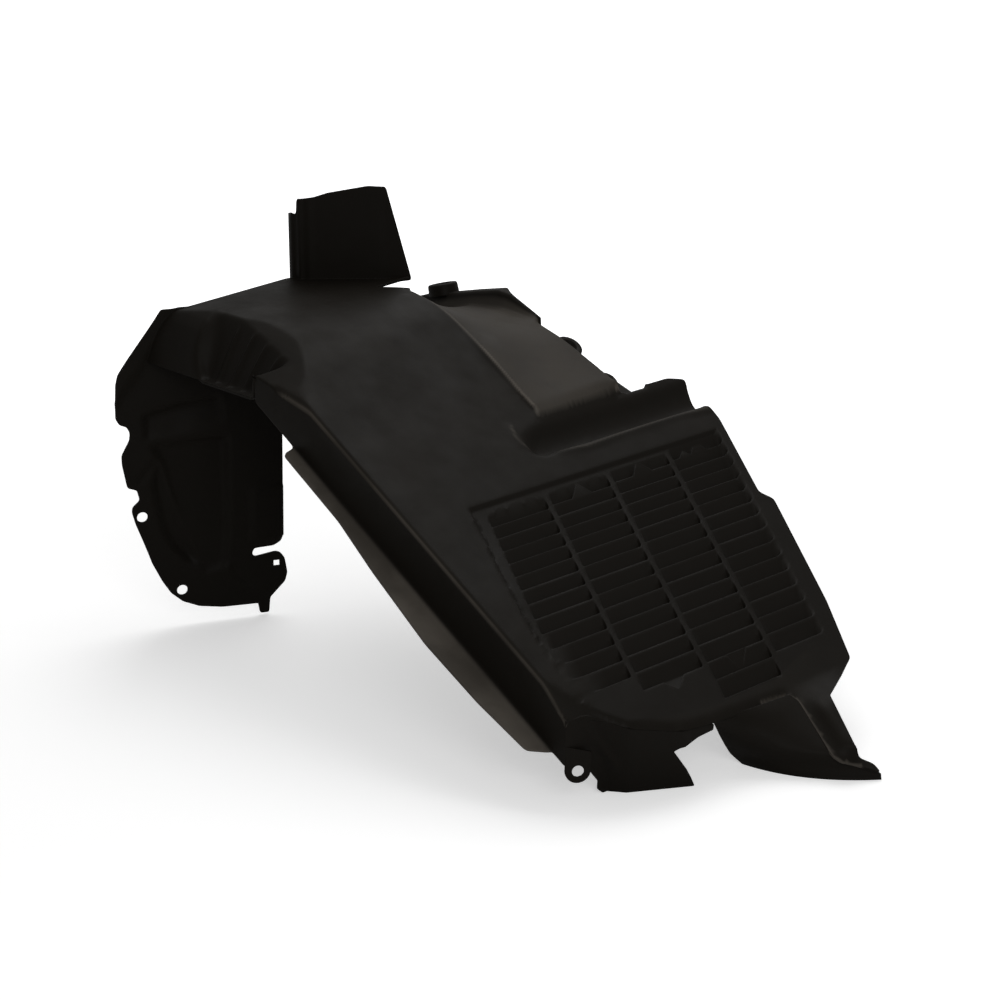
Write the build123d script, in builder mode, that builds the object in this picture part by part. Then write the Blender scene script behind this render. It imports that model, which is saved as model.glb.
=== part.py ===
from build123d import *
from math import cos, radians, sin, tan
import os

os.makedirs("parts", exist_ok=True)

# A front inner mudguard (wheel-arch liner), moulded as one thin-walled piece.
# X runs along the car from the upright leg to the louvred leg, Y runs inboard from the
# wheel opening, and Z is up from the floor that the feet stand on. Sizes in millimetres.

# Wall, and a length that passes right through anything
wall = 3.0
reach = 600.0

# Side view of the skin: a level deck over the wheel, then a straight ramp
deck_height = 398.0
deck_start = -385.0
ramp_angle = 30.0
ramp_datum = 276.0
knee_radius = 200.0

# Wheel opening in the outboard wall
opening_height = 331.0
opening_start = -403.0
wall_drop = 66.0
side_wall_end = 282.0

# Outboard top corner: a sloping cheek, then a ribbed recess set further in
cheek_end = -318.0
cheek_top = 42.0
recess_end = -172.0
recess_foot = 14.0
recess_top = 47.0
rib_places = (-275.0, -252.0, -229.0, -206.0)
rib_leans = (0.0, 12.0, 18.0, 32.0)
rib_height = 8.0
rib_width = 4.0

# Lip flange along the sloping edge of the opening
lip_start = -136.0
lip_bend = -45.0
lip_middle = 110.0
lip_end = 249.0
lip_top_width = 16.0
lip_width = 34.0
lip_end_width = 23.0

# Raised strip on the inboard side, the ledge beside it and the rim below it
strip_y = 270.0
strip_top = -240.0
strip_foot = -30.0
strip_step = 0.5
ledge_y = 400.0
ledge_width = 42.0
rim_y = 504.0
boss_radius = 19.0
boss_height = 8.0

# Trough under the strip's step
trough_y = 248.0
trough_x = 2.0
trough_height = 256.0
trough_end = 45.0
trough_round = 16.0

# Louvres on the ramp: rows down the ramp, columns across it
row_start = 60.0
row_pitch = 15.3
row_counts = (14, 15, 17, 16)
column_starts = (100.0, 195.0, 298.0, 397.0)
column_widths = (82.0, 88.0, 88.0, 80.0)
column_slant = 0.42
louvre_open = 12.5
louvre_depth = 7.0

# Louvre field: sunk below the ramp at its upper border and flush at its lower end
field_top = 50.0
field_run = 330.0
field_step = 2.5
field_corners = (
    ((50, 84), (-1, -1)),
    ((50, 481), (-1, 1)),
    ((118, 452), (1, 1)),
    ((310, 369), (1, 1)),
    ((330, 250), (1, 0)),
    ((318, 40), (1, -1)),
    ((296, 31), (0, -1)),
    ((197, 34), (-1, -1)),
    ((118, 61), (-1, -1)),
)

# Upright leg: a panel turned a little towards the louvred leg
leg_turn = 64.2
leg_hole_radius = 6.5
ear_hole_size = 8.5
step_depth = 6.0
pad_height = 2.0

# Feet of the louvred leg, and the fixing tab between side wall and foot
foot_notch_y = 150.0
tab_radius = 15.0
tab_hole_radius = 6.5

# Small notches
notch_depth = 1.2

# Upstand over the deck
tip_x = 463.0
tip_y = 288.0
upstand_height = 110.0
upstand_corner = 9.0

slope = tan(radians(ramp_angle))
ramp_cos = cos(radians(ramp_angle))
ramp_sin = sin(radians(ramp_angle))


def ramp_height(x):
    """Height of the ramp's upper face at one place along the car."""
    return ramp_datum - slope * x


knee_x = (ramp_datum - deck_height) / slope
knee_start = knee_x - knee_radius * tan(radians(ramp_angle / 2))
knee_end = knee_start + knee_radius * ramp_sin
opening_corner = (ramp_datum - wall_drop - opening_height) / slope
ramp_plane = Plane(
    origin=(0, 0, ramp_datum), x_dir=(ramp_cos, 0, -ramp_sin), z_dir=(ramp_sin, 0, ramp_cos)
)
leg_plane = Plane(
    origin=(opening_start, 0, 0),
    x_dir=(cos(radians(leg_turn)), sin(radians(leg_turn)), 0),
    z_dir=(sin(radians(leg_turn)), -cos(radians(leg_turn)), 0),
)


def side_view(y):
    """Side-view plane at a distance inboard, with X to the right and Z up."""
    return Plane(origin=(0, y, 0), x_dir=(1, 0, 0), z_dir=(0, -1, 0))


def end_view(x):
    """Cross-section plane at a place along the car, with Y to the right and Z up."""
    return Plane(origin=(x, 0, 0), x_dir=(0, 1, 0), z_dir=(1, 0, 0))


def knee_point(x, depth):
    """Point on the knee's arc at one place along the car, at a depth below the upper face."""
    radius = knee_radius - depth
    return (x, deck_height - knee_radius + (radius**2 - (x - knee_start) ** 2) ** 0.5)


def under_skin(y, depth, bottom):
    """Side view of the space under the skin, at a depth below its upper face."""
    ramp_low = reach
    with BuildSketch(side_view(y)) as space:
        with BuildLine():
            top = FilletPolyline(
                (deck_start - 60, deck_height - depth),
                (knee_x - depth * tan(radians(ramp_angle / 2)), deck_height - depth),
                (ramp_low, ramp_height(ramp_low) - depth / ramp_cos),
                radius=knee_radius - depth,
            )
            Polyline(top @ 1, (ramp_low, bottom), (deck_start - 60, bottom), top @ 0)
        make_face()
    return space.sketch


# Arch: the skin cut to its plan, with the outboard side wall round the wheel opening
with BuildPart() as arch:
    extrude(under_skin(0, 0, -100), amount=-rim_y - 10)
    extrude(under_skin(wall, wall, -110), amount=-rim_y - 20, mode=Mode.SUBTRACT)
    with BuildSketch(Plane.XY.offset(-120)):
        Polygon(
            (opening_start, 0),
            (side_wall_end, 0),
            (296, 25),
            (313, 43),
            (329, 63),
            (343, 108),
            (348, 150),
            (352, 262),
            (364, 268),
            (427, 249),
            (437, 252),
            (449, 271),
            (tip_x, tip_y),
            (452, 289),
            (441, 278),
            (405, 294),
            (369, 310),
            (356, 352),
            (345, 378),
            (279, 415),
            (151, 471),
            (138, 460),
            (40, 500),
            (23, rim_y),
            (-19, rim_y),
            (-27, 482),
            (strip_foot, strip_y),
            (strip_top, strip_y),
            (-247, 277),
            (-281, 248),
            (-288, 309),
            (-301, 283),
            (-382, 202),
            (deck_start, 198),
            (deck_start, cheek_top),
            align=None,
        )
    extrude(amount=reach, mode=Mode.INTERSECT)
    with BuildSketch(side_view(-1)):
        Rectangle(reach, 300, align=(Align.MIN, Align.MAX))
    extrude(amount=-reach, mode=Mode.SUBTRACT)
    with BuildSketch(side_view(-1)):
        Polygon(
            (opening_start - 10, opening_height),
            (opening_corner, opening_height),
            (side_wall_end, ramp_height(side_wall_end) - wall_drop),
            (reach, ramp_height(side_wall_end) - wall_drop),
            (reach, -130),
            (opening_start - 10, -130),
            align=None,
        )
    extrude(amount=-wall - 2, mode=Mode.SUBTRACT)
    # Cheek and ribbed recess: the sloping sheets go in first, then the corner comes off
    skew = wall / cos(radians(30))
    cheek_line = ((0, opening_height), (11, 367), (31, 391), (cheek_top, deck_height))
    with BuildSketch(end_view(opening_start)):
        Polygon(*cheek_line, *[(y + skew, z) for y, z in reversed(cheek_line)], align=None)
    extrude(amount=cheek_end - opening_start)
    with BuildSketch(end_view(cheek_end)):
        Polygon(
            (recess_foot, opening_height),
            (recess_top, deck_height),
            (recess_top + skew, deck_height),
            (recess_foot + skew, opening_height),
            align=None,
        )
    extrude(amount=recess_end - cheek_end)
    with BuildSketch(end_view(cheek_end - wall)):
        Polygon(
            *cheek_line,
            (recess_top + skew, deck_height),
            (recess_foot + skew, opening_height),
            align=None,
        )
    extrude(amount=wall)
    with BuildSketch(end_view(recess_end)):
        Polygon(
            (0, opening_height - wall),
            (0, deck_height),
            (recess_top + skew, deck_height),
            (recess_foot + skew, opening_height - wall),
            align=None,
        )
    extrude(amount=wall)
    with BuildSketch(end_view(opening_corner - 2 * wall)):
        Polygon(
            (0, opening_height - wall),
            (recess_foot + skew, opening_height - wall),
            (recess_foot + skew, opening_height),
            (0, opening_height),
            align=None,
        )
    extrude(amount=recess_end - opening_corner + 2 * wall)
    with BuildSketch(end_view(opening_start - 1)):
        Polygon(
            (-1, opening_height),
            *cheek_line,
            (cheek_top, deck_height + 1),
            (-1, deck_height + 1),
            align=None,
        )
    extrude(amount=cheek_end - opening_start + 1, mode=Mode.SUBTRACT)
    with BuildSketch(end_view(cheek_end)):
        Polygon(
            (-1, opening_height),
            (recess_foot, opening_height),
            (recess_top, deck_height),
            (recess_top, deck_height + 1),
            (-1, deck_height + 1),
            align=None,
        )
    extrude(amount=recess_end - cheek_end, mode=Mode.SUBTRACT)
    with BuildSketch(side_view(-1)):
        with BuildLine():
            top = FilletPolyline(
                (deck_start - 60, deck_height),
                (knee_x, deck_height),
                (reach / 2, ramp_height(reach / 2)),
                radius=knee_radius,
            )
            Polyline(top @ 1, (reach / 2, reach), (deck_start - 60, reach), top @ 0)
        make_face()
    extrude(amount=-rim_y - 20, mode=Mode.SUBTRACT)
    # Slanted outboard end of the cheek, from the opening's corner up to the deck
    with BuildSketch(side_view(-1)):
        Polygon(
            (opening_start - 5, opening_height - 5),
            (opening_start, opening_height),
            (opening_start + 3, 366),
            (opening_start + 10, 391),
            (deck_start, deck_height),
            (deck_start, deck_height + 5),
            (opening_start - 5, deck_height + 5),
            align=None,
        )
    extrude(amount=-cheek_top - 20, mode=Mode.SUBTRACT)

    # Flat corners: a sheet goes in below each, then what stands above it comes off
    for corners in (
        ((-331, cheek_top, deck_height), (-384, 205, deck_height), (-394, 29, 389)),
        ((recess_end, recess_top, 375.3), (recess_end - 6, 0, 353), (-110, 0, 339.5)),
        ((248, 0, 132.8), (side_wall_end, 0, 98), (side_wall_end, 22, 113.2)),
    ):
        face = Face(Wire.make_polygon(corners))
        rise = 1 if face.normal_at().Z > 0 else -1
        extrude(face, amount=-rise * wall)
        extrude(face, amount=rise * 30, mode=Mode.SUBTRACT)

# Ribs that stiffen the recess, fanned towards the ramp
recess_rise = Vector(0, recess_top - recess_foot, deck_height - opening_height).normalized()
with BuildPart() as ribs:
    for place, lean in zip(rib_places, rib_leans):
        rib_base = Plane(
            origin=(place, recess_foot, opening_height),
            x_dir=(1, 0, 0),
            z_dir=(0, -recess_rise.Z, recess_rise.Y),
        )
        with BuildSketch(rib_base.offset(-1)):
            with Locations(Location((0, 0, 0), (0, 0, -lean))):
                Rectangle(rib_width, 60, align=(Align.CENTER, Align.MIN))
        extrude(amount=rib_height + 1, taper=6)


# Raised strip: a sheet from the skin's section at one side to a flatter arch at the other
strip_bow = ((-376, 307), (-222, 354.8), (-127, 338))
strip_heel = (strip_foot + 4, 298.5)


def under_strip(depth, bottom):
    """Side view of the space under the strip's inboard edge, at a depth below it."""
    lowered = [(x, z - depth) for x, z in strip_bow]
    heel = (strip_heel[0], strip_heel[1] - depth)
    with BuildSketch(side_view(ledge_y)) as space:
        with BuildLine():
            bow = ThreePointArc(*lowered)
            Polyline(bow @ 1, heel, (heel[0], bottom), (lowered[0][0], bottom), bow @ 0)
        make_face()
    return space.sketch


def under_skin_part(depth, bottom):
    """Side view of the space under the skin beside the strip, at a depth below it."""
    middle = (strip_top + knee_end) / 2
    with BuildSketch(side_view(strip_y)) as space:
        with BuildLine():
            bow = ThreePointArc(
                knee_point(strip_top, depth),
                knee_point(middle, depth),
                (knee_end, ramp_height(knee_end) - depth / ramp_cos),
            )
            Polyline(
                bow @ 1,
                (strip_foot, ramp_height(strip_foot) - depth / ramp_cos),
                (strip_foot, bottom),
                (strip_top, bottom),
                bow @ 0,
            )
        make_face()
    return space.sketch


with BuildPart() as strip:
    loft([under_skin_part(strip_step, 100), under_strip(0, 100)], ruled=True)
    loft([under_skin_part(wall + strip_step, 90), under_strip(wall, 90)], ruled=True, mode=Mode.SUBTRACT)

# Ledge beyond the strip: an upper part, a lower part, the wall that joins them, and bosses
ledge_line = ((-376, 339), (-281, 363), (-238, 373), (-216, 372), (-170, 356), (-133, 340))
ledge_step = ((-165, 318), (-135, 305), (strip_foot + 4, 272))
with BuildPart() as ledge:
    with BuildSketch(side_view(ledge_y)):
        Polygon(*ledge_line, *[(x, z - wall) for x, z in reversed(ledge_line)], align=None)
    extrude(amount=-ledge_width)
    with BuildSketch():
        Polygon(
            (-376, ledge_y),
            (-376, ledge_y + ledge_width / 2),
            (-236, ledge_y + ledge_width / 2),
            (-216, ledge_y + wall + 4),
            (-133, ledge_y + wall),
            (-133, ledge_y),
            align=None,
        )
    extrude(amount=reach, mode=Mode.INTERSECT)
    with BuildSketch(side_view(ledge_y)):
        Polygon(*ledge_step, *[(x, z - wall) for x, z in reversed(ledge_step)], align=None)
    extrude(amount=-ledge_width)
    # The joining wall follows the strip's edge above and both parts of the ledge
    with BuildSketch(side_view(ledge_y)):
        Polygon(*ledge_line, (-133, 200), (-376, 200), align=None)
        add(under_strip(wall, 190), mode=Mode.SUBTRACT)
    extrude(amount=-wall)
    with BuildSketch(side_view(ledge_y)):
        add(under_strip(0, 200))
        Polygon(
            (-376, 190),
            (-376, 290),
            (ledge_step[0][0], 290),
            *[(x, z - wall) for x, z in ledge_step],
            (strip_foot + 4, 190),
            align=None,
            mode=Mode.SUBTRACT,
        )
    extrude(amount=-wall)
    for x, y, top, lean, radius in (
        (-345, ledge_y + 14, 359, -14, boss_radius),
        (-134, ledge_y + 24, 321, 30, boss_radius - 1),
        (-71, ledge_y + 24, 292, 30, boss_radius - 4),
    ):
        boss_plane = Plane(origin=(x, y, top), z_dir=(sin(radians(lean)), 0, cos(radians(lean))))
        with BuildSketch(boss_plane):
            Circle(radius)
        extrude(amount=-boss_height - 6, taper=-4)

# Lip flange: a sheet along the sloping edge, turned outboard, with a bowed outline
with BuildPart() as lip:
    lip_high = ramp_height(lip_start) - wall_drop
    with BuildSketch(side_view(wall)):
        Polygon(
            (lip_start - 20, lip_high + 20 * slope),
            (side_wall_end, ramp_height(side_wall_end) - wall_drop),
            (side_wall_end, ramp_height(side_wall_end) - wall_drop + wall / ramp_cos),
            (lip_start - 20, lip_high + 20 * slope + wall / ramp_cos),
            align=None,
        )
    extrude(amount=lip_width + wall)
    with BuildSketch():
        with BuildLine():
            head = Line((lip_start, -lip_top_width), (lip_bend, -lip_top_width - 1))
            bow = ThreePointArc(head @ 1, (lip_middle, -lip_width), (lip_end, -lip_end_width))
            Polyline(
                bow @ 1,
                (lip_end + 13, 0),
                (lip_end + 13, wall),
                (lip_start - 6, wall),
                head @ 0,
            )
        make_face()
    extrude(amount=reach, mode=Mode.INTERSECT)

# Trough under the strip's step, running out to the inboard edge
with BuildPart() as trough_space:
    with BuildSketch(side_view(trough_y)):
        Polygon(
            (strip_foot, ramp_height(strip_foot) + 12),
            (strip_foot, ramp_height(strip_foot)),
            (trough_x, trough_height),
            (trough_end, ramp_height(trough_end)),
            (trough_end, ramp_height(strip_foot) + 12),
            align=None,
        )
    extrude(amount=-rim_y)
    extrude(faces().sort_by(Axis.Y)[0], amount=trough_round, taper=38)
with BuildPart() as trough_shell:
    with BuildSketch(side_view(trough_y - wall)):
        Polygon(
            (strip_foot - wall, ramp_height(strip_foot)),
            (strip_foot - wall, ramp_height(strip_foot) - wall),
            (trough_x - wall / 2, trough_height - 1.3 * wall),
            (trough_end + wall, ramp_height(trough_end) - 2 * wall),
            (trough_end + wall, ramp_height(trough_end) - wall),
            align=None,
        )
    extrude(amount=-(rim_y - trough_y + wall))
    with BuildSketch():
        Polygon(
            (strip_foot - 20, 0), (60, 0), (60, 488), (23, rim_y), (strip_foot - 20, rim_y), align=None
        )
    extrude(amount=reach, mode=Mode.INTERSECT)



def wedge_space(plane, run, depth):
    """Section of a wedge pressed into a face, deepest at the plane's origin."""
    with BuildSketch(plane) as section:
        Polygon((0, 1), (0, -depth), (run, 0), (run, 1), align=None)
    return section.sketch


def wedge_shell(plane, run, depth):
    """Section of the sheet that lies behind a pressed wedge."""
    with BuildSketch(plane) as section:
        Polygon(
            (-wall, -wall / 2),
            (-wall, -depth - wall),
            (wall / 2, -depth - wall),
            (run + wall, -wall),
            (run + wall, -wall / 2),
            align=None,
        )
    return section.sketch


# Louvres: each is a wedge pressed into the ramp, deepest at its lower end
with BuildPart() as louvre_shells:
    for start, width, rows in zip(column_starts, column_widths, row_counts):
        for row in range(rows):
            x = row_start + row * row_pitch
            y = start - column_slant * (x - row_start)
            foot = ramp_plane.from_local_coords(Vector(x / ramp_cos + louvre_open, y - wall, 0))
            plane = Plane(origin=foot, x_dir=-ramp_plane.x_dir, z_dir=(0, 1, 0))
            extrude(wedge_shell(plane, louvre_open, louvre_depth), amount=width + 2 * wall)
    field_plane = Plane(
        origin=ramp_plane.from_local_coords(Vector(field_top / ramp_cos, 20, 0)),
        x_dir=ramp_plane.x_dir,
        z_dir=(0, -1, 0),
    )
    extrude(wedge_shell(field_plane, field_run, field_step), amount=-480)
    with BuildSketch():
        Polygon(*[(x + wall * dx, y + wall * dy) for (x, y), (dx, dy) in field_corners], align=None)
    extrude(amount=reach, mode=Mode.INTERSECT)
with BuildPart() as louvre_spaces:
    extrude(wedge_space(field_plane, field_run, field_step), amount=-480)
    with BuildSketch():
        Polygon(*[corner for corner, out in field_corners], align=None)
    extrude(amount=reach, mode=Mode.INTERSECT)
    for start, width, rows in zip(column_starts, column_widths, row_counts):
        for row in range(rows):
            x = row_start + row * row_pitch
            y = start - column_slant * (x - row_start)
            foot = ramp_plane.from_local_coords(Vector(x / ramp_cos + louvre_open, y, 0))
            plane = Plane(origin=foot, x_dir=-ramp_plane.x_dir, z_dir=(0, 1, 0))
            extrude(wedge_space(plane, louvre_open, louvre_depth), amount=width)

# Upright leg: a flat panel with rounded foot, fixing holes, an ear and pressed fields
with BuildPart() as leg:
    with BuildSketch(leg_plane):
        with BuildLine():
            Polyline(
                (20, 394),
                (5, 376),
                (-24, 335),
                (-37, 308),
                (-38, 262),
                (-24, 247),
                (-25, 232),
                (-33, 220),
                (-28, 180),
                (-15, 175),
                (-14, 161),
                (-24, 151),
                (-14, 114),
            )
            foot = ThreePointArc((-14, 114), (22, 46), (78, 20))
            Polyline(
                foot @ 1,
                (122, 18),
                (126, 4),
                (137, 4),
                (139, 24),
                (161, 42),
                (160, 70),
                (153, 79),
                (121, 75),
                (119, 81),
                (121, 87),
                (145, 88),
                (157, 99),
                (161, 300),
                (161, 394),
                (20, 394),
            )
        make_face()
        with Locations((-12, 141), (32, 44)):
            Circle(leg_hole_radius, mode=Mode.SUBTRACT)
        with Locations((148, 61)):
            Rectangle(ear_hole_size, ear_hole_size, mode=Mode.SUBTRACT)
    extrude(amount=-wall)
    # Pressed steps: each fades out from a line on the panel, inside its own outline.
    # The line has a start, a direction in degrees and a length
    steps = (
        (-1, 267, 11, 92, 36, ((-4, 300), (-4, 230), (87, 233), (87, 300))),
        (-6, 230, 1, 101, 150, ((6, 240), (94, 240), (94, 60), (57, 70), (45, 86), (14, 190), (6, 226))),
        (5, 203, -72.5, 128, 11, ((9, 200), (-8, 190), (22, 70), (60, 60), (56, 74), (45, 86))),
    )
    for s, z, turn, length, run, outline in steps:
        along = Vector(cos(radians(turn)), sin(radians(turn)), 0)
        fade = Vector(sin(radians(turn)), -cos(radians(turn)), 0)
        step_plane = Plane(
            origin=leg_plane.from_local_coords(Vector(s, z, 0)),
            x_dir=leg_plane.from_local_coords(fade) - leg_plane.origin,
            z_dir=leg_plane.origin - leg_plane.from_local_coords(along),
        )
        with BuildSketch(leg_plane.offset(wall), mode=Mode.PRIVATE) as region:
            Polygon(*outline, align=None)
        with BuildSketch(leg_plane.offset(-wall / 2), mode=Mode.PRIVATE) as region_behind:
            Polygon(*outline, align=None)
            offset(amount=wall, kind=Kind.INTERSECTION)
        add(
            extrude(wedge_shell(step_plane, run, step_depth), amount=-length, mode=Mode.PRIVATE)
            & extrude(region_behind.sketch, amount=-4 * wall, mode=Mode.PRIVATE)
        )
        add(
            extrude(wedge_space(step_plane, run, step_depth), amount=-length, mode=Mode.PRIVATE)
            & extrude(region.sketch, amount=-4 * wall, mode=Mode.PRIVATE),
            mode=Mode.SUBTRACT,
        )
    # Raised pad above the slot
    with BuildSketch(leg_plane.offset(-wall / 2)):
        Polygon((118, 164), (156, 164), (156, 104), (148, 92), (117, 92), align=None)
    extrude(amount=wall / 2 + pad_height)

# Outboard foot: a short apron from the side wall round to the notch
with BuildPart() as apron:
    for height, line in (
        (118, ((side_wall_end, 0), (299, 26), (321, 50), (344, 104), (350, 152))),
        (0, ((side_wall_end, 0), (side_wall_end, 62), (299, 74), (337, 137), (342, 152))),
    ):
        with BuildSketch(Plane.XY.offset(height)):
            Polygon(*line, *[(x - 2.6, y + 1.5) for x, y in reversed(line)], align=None)
    loft(ruled=True)
    with BuildSketch(Plane.YZ.offset(reach)):
        Polygon(
            (-10, 200),
            (-10, 66),
            (5, 63),
            (33, 42),
            (60, 13),
            (61, 0),
            (140, 0),
            (138, 25),
            (143, 60),
            (foot_notch_y, 72),
            (foot_notch_y + 10, 72),
            (foot_notch_y + 10, 200),
            align=None,
        )
    extrude(amount=-reach, mode=Mode.INTERSECT)
    extrude(under_skin(-10, 1, -110), amount=-300, mode=Mode.INTERSECT)

# Inboard foot: a curved wall under the tongue, running out to the tip
with BuildPart() as scoop:
    for height, line in (
        (74, ((345, 150), (351, 206), (352, 262))),
        (30, ((333, 187), (384, 214), (427, 249))),
        (14, ((329, 201), (392, 229), (451, 274))),
        (0, ((336, 213), (405, 236), (tip_x, tip_y))),
    ):
        with BuildSketch(Plane.XY.offset(height)):
            with BuildLine():
                front = ThreePointArc(*line)
                back = ThreePointArc(*[(x - 2.4, y + 2.4) for x, y in line])
                Line(front @ 1, back @ 1)
                Line(back @ 0, front @ 0)
            make_face()
    loft(ruled=True)

# Fixing tab below the side wall's end
tab_plane = Plane(origin=(side_wall_end, 0, 0), x_dir=(0.53, 0.848, 0), z_dir=(0.848, -0.53, 0))
with BuildPart() as tab:
    with BuildSketch(tab_plane):
        with Locations((18, 41)):
            Circle(tab_radius)
        Polygon((6, 45), (28, 45), (24, 72), (4, 72), align=None)
        with Locations((18, 41)):
            Circle(tab_hole_radius, mode=Mode.SUBTRACT)
    extrude(amount=-wall)

# Upstand: a tall wall turned to face the opening, with a stepped edge and a raked return
with BuildPart() as upstand:
    with BuildSketch(Plane.XY.offset(deck_height - wall)):
        with BuildLine():
            FilletPolyline(
                (-392, 209), (-380, 202), (-374, 208), (-369, 203), (-301, 280), (-291, 309), radius=2.5
            )
        trace(line_width=wall)
    extrude(amount=upstand_height + wall + 12)
    with BuildSketch(Plane(origin=(-350, 230, deck_height), x_dir=(0.7, 0.714, 0), z_dir=(0.714, -0.7, 0))):
        Polygon(
            (-80, -10),
            (-80, 78),
            (-34, 78),
            (-33, 97),
            (-12, 99),
            (4, 104),
            (52, 114),
            (73, 112),
            (101, 0),
            (101, -10),
            align=None,
        )
    extrude(amount=100, both=True, mode=Mode.INTERSECT)

# Small notches along the deck's fold and along the louvre field's outboard border
with BuildPart() as notches:
    for line_start, line_end, height, count, size in (
        ((-341, 72), (-381, 205), deck_height, 11, (3.0, 6.0)),
        ((70, 74), (262, 27), 0, 14, (10.0, 2.0)),
    ):
        run = Vector(line_end[0] - line_start[0], line_end[1] - line_start[1], 0)
        for place in range(count):
            spot = Vector(*line_start, 0) + run * (place / (count - 1))
            top = height if height else ramp_height(spot.X)
            turn = 90 if height else 0
            with BuildSketch(Plane.XY.offset(top - notch_depth)):
                with Locations(Location(spot, (0, 0, Vector(1, 0, 0).get_signed_angle(run) + turn))):
                    Rectangle(size[0] * ramp_cos, size[1])
            extrude(amount=notch_depth * 2)

with BuildPart() as whole:
    add(arch.part)
    add(ribs.part)
    add(strip.part)
    add(ledge.part)
    add(lip.part)
    add(trough_shell.part)
    add(louvre_shells.part)
    add(trough_space.part, mode=Mode.SUBTRACT)
    add(louvre_spaces.part, mode=Mode.SUBTRACT)
    add(leg.part)
    add(apron.part)
    add(scoop.part)
    add(tab.part)
    add(upstand.part)
    add(notches.part, mode=Mode.SUBTRACT)

# The finished piece stands with its bounding box centred over the origin
box = whole.part.bounding_box()
with BuildPart() as mudguard:
    with Locations((-(box.min.X + box.max.X) / 2, -(box.min.Y + box.max.Y) / 2, -box.min.Z)):
        add(whole.part)
mudguard.part.label = "mudguard"
export_step(mudguard.part, "parts/mudguard.step")
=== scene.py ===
"""A front inner mudguard, moulded in one piece of black plastic, on a pale studio floor."""
import logging
from dataclasses import dataclass, field
from enum import Enum

import bpy
import numpy as np
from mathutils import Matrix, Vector
from mathutils.geometry import delaunay_2d_cdt


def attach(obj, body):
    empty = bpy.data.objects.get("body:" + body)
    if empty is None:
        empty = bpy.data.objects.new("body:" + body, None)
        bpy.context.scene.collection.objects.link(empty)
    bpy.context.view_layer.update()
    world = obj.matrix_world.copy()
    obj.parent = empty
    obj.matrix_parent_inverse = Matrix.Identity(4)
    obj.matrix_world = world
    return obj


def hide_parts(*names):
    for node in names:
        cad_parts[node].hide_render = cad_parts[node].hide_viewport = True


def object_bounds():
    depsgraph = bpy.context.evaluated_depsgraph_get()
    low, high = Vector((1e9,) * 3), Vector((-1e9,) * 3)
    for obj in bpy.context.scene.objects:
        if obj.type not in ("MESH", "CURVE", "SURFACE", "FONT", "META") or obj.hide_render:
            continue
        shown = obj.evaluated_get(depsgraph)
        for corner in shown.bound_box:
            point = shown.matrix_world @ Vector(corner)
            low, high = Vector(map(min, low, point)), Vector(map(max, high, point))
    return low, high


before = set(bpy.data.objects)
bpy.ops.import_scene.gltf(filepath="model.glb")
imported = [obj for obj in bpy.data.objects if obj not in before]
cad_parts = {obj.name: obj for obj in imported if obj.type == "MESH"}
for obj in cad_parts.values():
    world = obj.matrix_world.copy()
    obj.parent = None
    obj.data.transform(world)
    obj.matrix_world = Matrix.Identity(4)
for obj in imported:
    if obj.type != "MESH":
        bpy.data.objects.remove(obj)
CAD_BOX = [list(corner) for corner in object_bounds()]

log = logging.getLogger("mudguard")
logging.basicConfig(level=logging.INFO, format="%(name)s: %(message)s")


class Light(Enum):
    """The studio's lamps: name, place in metres, aim in metres, width, depth and power in watts."""

    OVERHEAD = ("overhead", (-0.45, 0.7, 2.3), (0.0, 0.0, 0.2), 2.0, 1.6, 24.0)
    BACK = ("back", (-1.35, 1.65, 1.75), (0.0, 0.1, 0.3), 1.5, 1.1, 5.0)
    FRONT = ("front", (2.0, -1.3, 1.3), (0.0, 0.0, 0.2), 1.2, 1.0, 15.0)


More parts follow.
